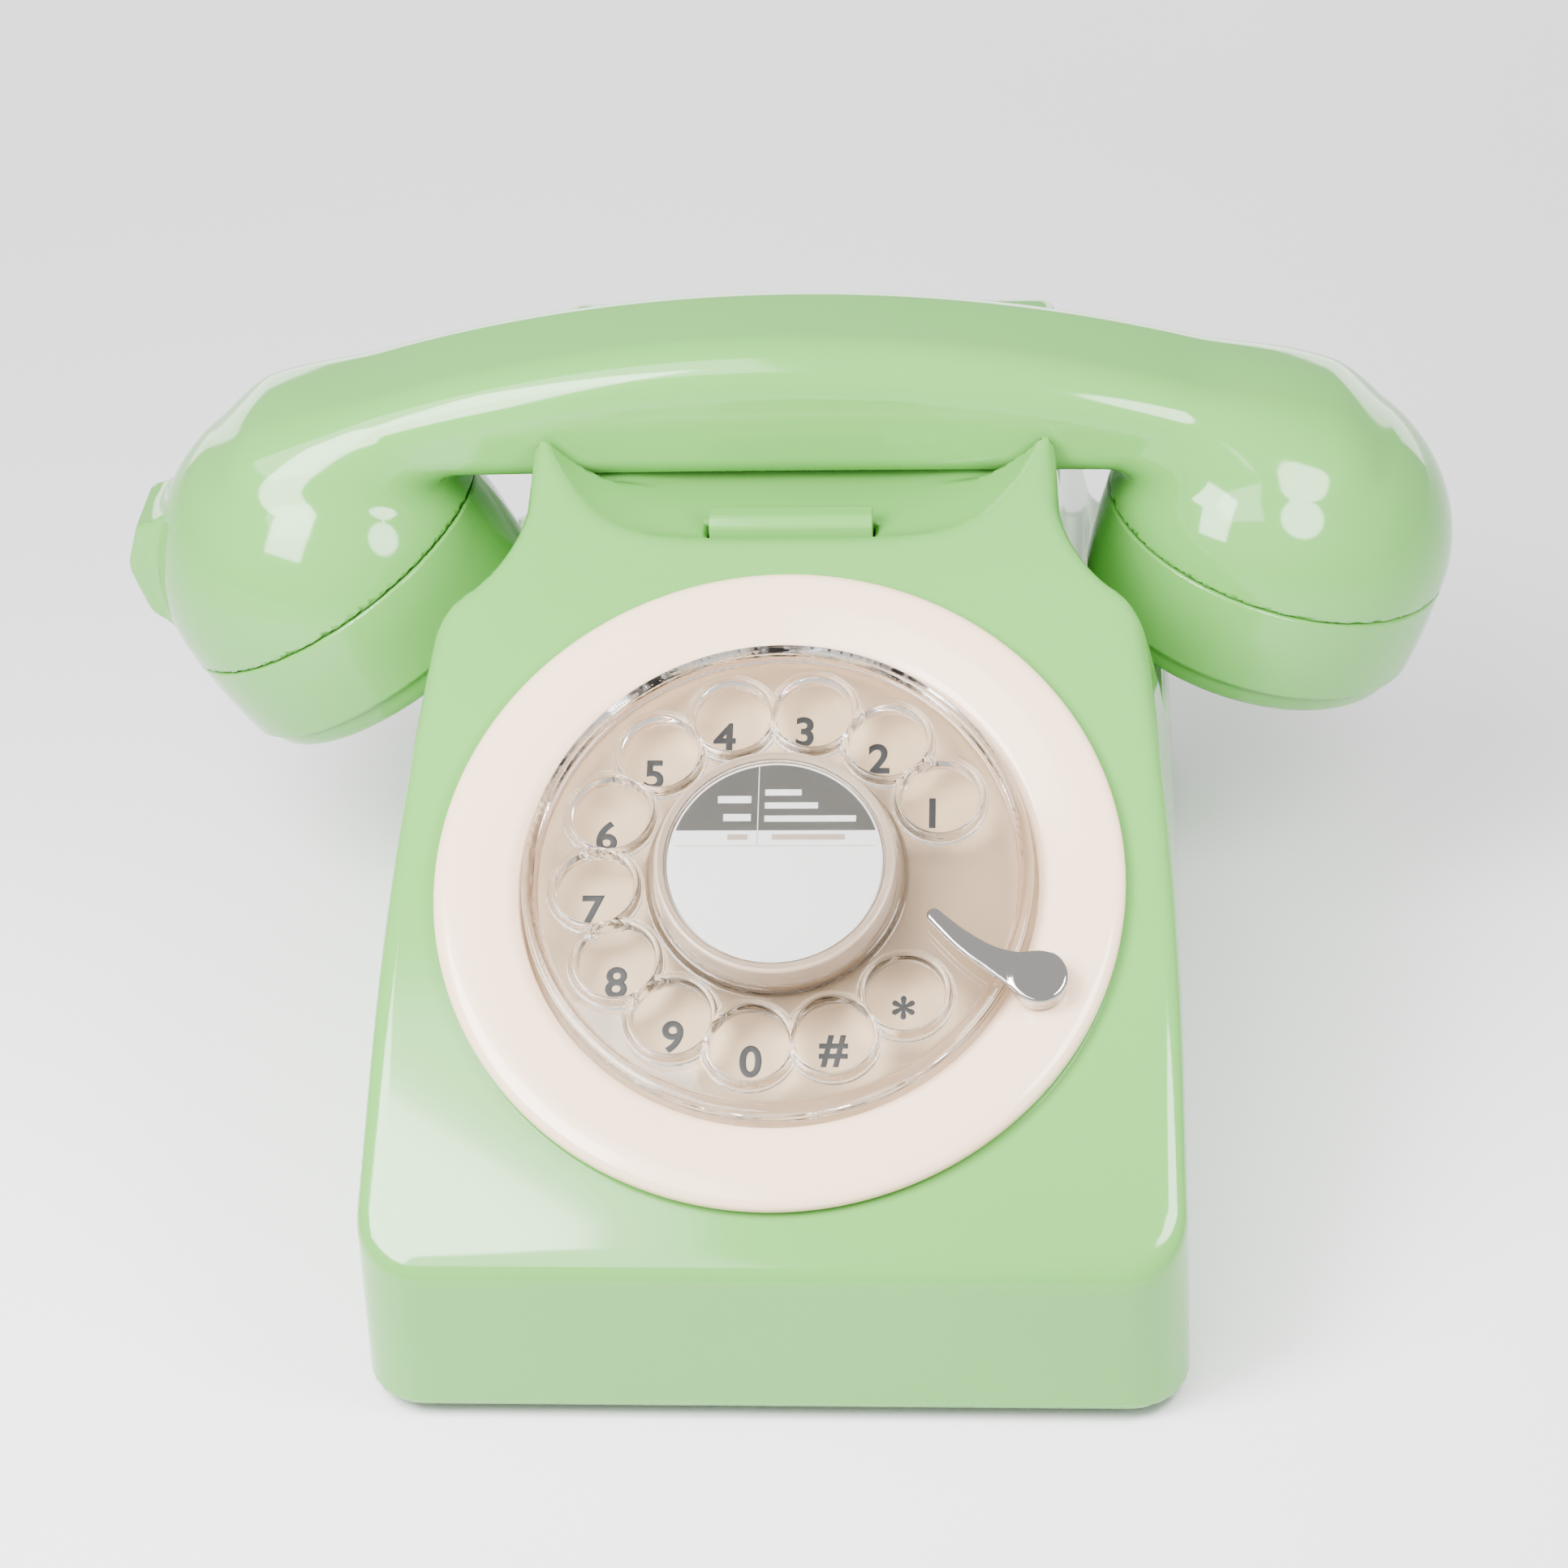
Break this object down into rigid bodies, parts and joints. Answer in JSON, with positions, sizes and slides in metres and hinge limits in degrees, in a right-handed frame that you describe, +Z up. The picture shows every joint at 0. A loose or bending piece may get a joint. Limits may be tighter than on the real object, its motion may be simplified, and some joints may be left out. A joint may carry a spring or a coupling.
{
  "type": "rotary desk telephone",
  "caption": "Desk telephone with a sloping case, clear finger wheel, chrome finger stop and a handset lying across a sprung cradle bar.",
  "frame": {"origin": "middle of the overall width and depth, on the surface that the feet stand on", "axes": "+X to the right of a person using it, +Y towards its back, +Z up"},
  "size_m": [0.2455, 0.204, 0.1257],
  "materials": {
    "green_shell": "high gloss moulded ABS, pastel green",
    "black_base": "black moulded base, fine satin grain",
    "rubber_foot": "black rubber",
    "cream_ring": "high gloss cream plastic",
    "beige_plate": "satin beige plate with printed black numbers",
    "chrome_stop": "polished chrome",
    "clear_acrylic": "clear moulded acrylic, polished",
    "label_paper": "white card with a grey panel",
    "hub_metal": "satin beige metal ring",
    "board_green": "green solder resist",
    "transformer_iron": "varnished laminations",
    "capacitor_film": "dipped film capacitors",
    "white_nylon": "natural nylon",
    "phenolic": "brown phenolic block with silver springs",
    "black_plastic": "black moulded plastic",
    "socket_grey": "pale grey moulded plastic",
    "spring_steel": "blued spring steel",
    "coil_copper": "enamelled copper winding",
    "brass_works": "machined brass",
    "gong_brass": "turned and lacquered brass",
    "capsule_metal": "spun aluminium",
    "steel_parts": "zinc-plated steel"
  },
  "bodies": {
    "base": {"base_plate": "black_base", "rubber_feet": "rubber_foot", "base_screws": "steel_parts", "case_shell": "green_shell", "dial_surround": "cream_ring", "number_plate": "beige_plate", "finger_stop": "chrome_stop", "dial_frame": "steel_parts", "dial_screws": "steel_parts", "dial_pillars": "brass_works", "dial_back_plate": "steel_parts", "pillar_screws": "steel_parts", "mainspring": "spring_steel", "governor_cup": "brass_works", "pulse_contacts": "phenolic", "circuit_board": "board_green", "board_spacers": "white_nylon", "transformer": "transformer_iron", "capacitors": "capacitor_film", "terminal_block": "white_nylon", "hook_bracket": "steel_parts", "bracket_screws": "steel_parts", "hook_pin": "steel_parts", "hook_switch": "black_plastic", "plunger_spring": "spring_steel", "gong_left": "gong_brass", "gong_right": "gong_brass", "gong_posts": "steel_parts", "gong_screws": "steel_parts", "ringer_core": "steel_parts", "ringer_coil": "coil_copper", "clapper_pin": "steel_parts", "line_socket": "black_plastic", "cord_socket": "black_plastic"},
    "dial": {"finger_wheel": "clear_acrylic", "dial_hub": "hub_metal", "label_card": "label_paper", "label_cover": "clear_acrylic", "main_shaft": "steel_parts", "main_gear": "brass_works"},
    "pulse_train": {"pulse_shaft": "steel_parts", "pulse_wheel": "brass_works", "pulse_cam": "white_nylon"},
    "governor": {"governor_spindle": "steel_parts", "governor_weights": "brass_works"},
    "hook_plunger": {"hook_plunger": "green_shell"},
    "hook_lever": {"hook_lever": "white_nylon"},
    "clapper": {"clapper_arm": "steel_parts", "clapper_ball": "brass_works"},
    "handset": {"handset_shell": "green_shell", "ear_cap": "green_shell", "mouth_cap": "green_shell", "receiver_capsule": "capsule_metal", "microphone_capsule": "capsule_metal", "handset_weight": "steel_parts", "handset_socket": "socket_grey"}
  },
  "joints": [
    {"name": "dial_turn", "type": "hinge", "parent": "base", "child": "dial", "pos_m": [0.0038, -0.04304, 0.06727], "axis": [0, -0.509, 0.8607], "range_deg": [-330, 0], "stiffness_Nm_per_rad": 0.004, "springref_deg": 28.65},
    {"name": "pulse_turn", "type": "hinge", "parent": "base", "child": "pulse_train", "pos_m": [-0.01875, -0.03597, 0.07145], "axis": [0, -0.509, 0.8607], "range_deg": [0, 1320]},
    {"name": "governor_turn", "type": "hinge", "parent": "base", "child": "governor", "pos_m": [-0.02006, -0.04884, 0.06384], "axis": [0, -0.509, 0.8607], "range_deg": [-5280, 0]},
    {"name": "handset_lift", "type": "slide", "parent": "base", "child": "handset", "axis": [0, 0, 1], "range_m": [0, 0.15]},
    {"name": "hook_rise", "type": "slide", "parent": "base", "child": "hook_plunger", "axis": [0, 0, 1], "range_m": [0, 0.004], "deforming": ["plunger_spring"]},
    {"name": "lever_rock", "type": "hinge", "parent": "base", "child": "hook_lever", "pos_m": [0.0038, 0.06205, 0.08396], "axis": [1, 0, 0], "range_deg": [-9.3, 0]},
    {"name": "clapper_swing", "type": "hinge", "parent": "base", "child": "clapper", "pos_m": [0.0038, 0.046, 0.0165], "axis": [0, 0, 1], "range_deg": [-5, 5]}
  ],
  "couplings": [
    {"joint": "pulse_turn", "follows": "dial_turn", "ratio": -4},
    {"joint": "governor_turn", "follows": "dial_turn", "ratio": 16},
    {"joint": "hook_rise", "follows": "handset_lift", "ratio": 0.0266},
    {"joint": "lever_rock", "follows": "handset_lift", "rad_per_m": -1.067}
  ]
}
